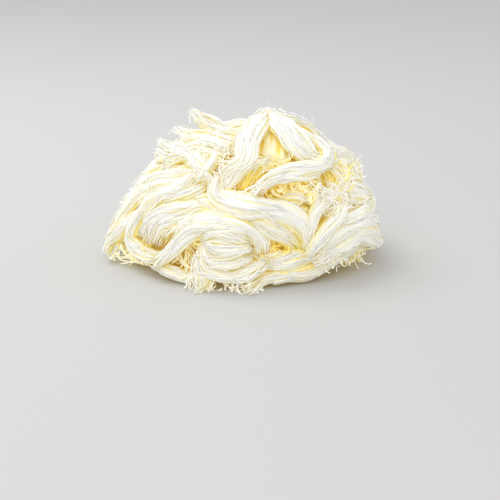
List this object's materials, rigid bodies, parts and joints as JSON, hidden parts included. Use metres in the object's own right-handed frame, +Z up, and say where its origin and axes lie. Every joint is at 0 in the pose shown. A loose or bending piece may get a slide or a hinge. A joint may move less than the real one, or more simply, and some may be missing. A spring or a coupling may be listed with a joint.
{
  "type": "pulled string cheese heap",
  "caption": "Loose heap of pulled string cheese: hanks of fine fibre looped and tangled over one another, flat underneath.",
  "frame": {"origin": "on the table, under the middle of the heap's bounding box", "axes": "+Z up; +X to the right along the heap's long side; -Y towards the front"},
  "size_m": [0.1649, 0.1481, 0.0896],
  "materials": {
    "string_cheese": "pale cream cheese fibre, slightly moist, more golden deep between the hanks"
  },
  "bodies": {
    "root": {"string_cheese": "string_cheese"}
  },
  "joints": []
}
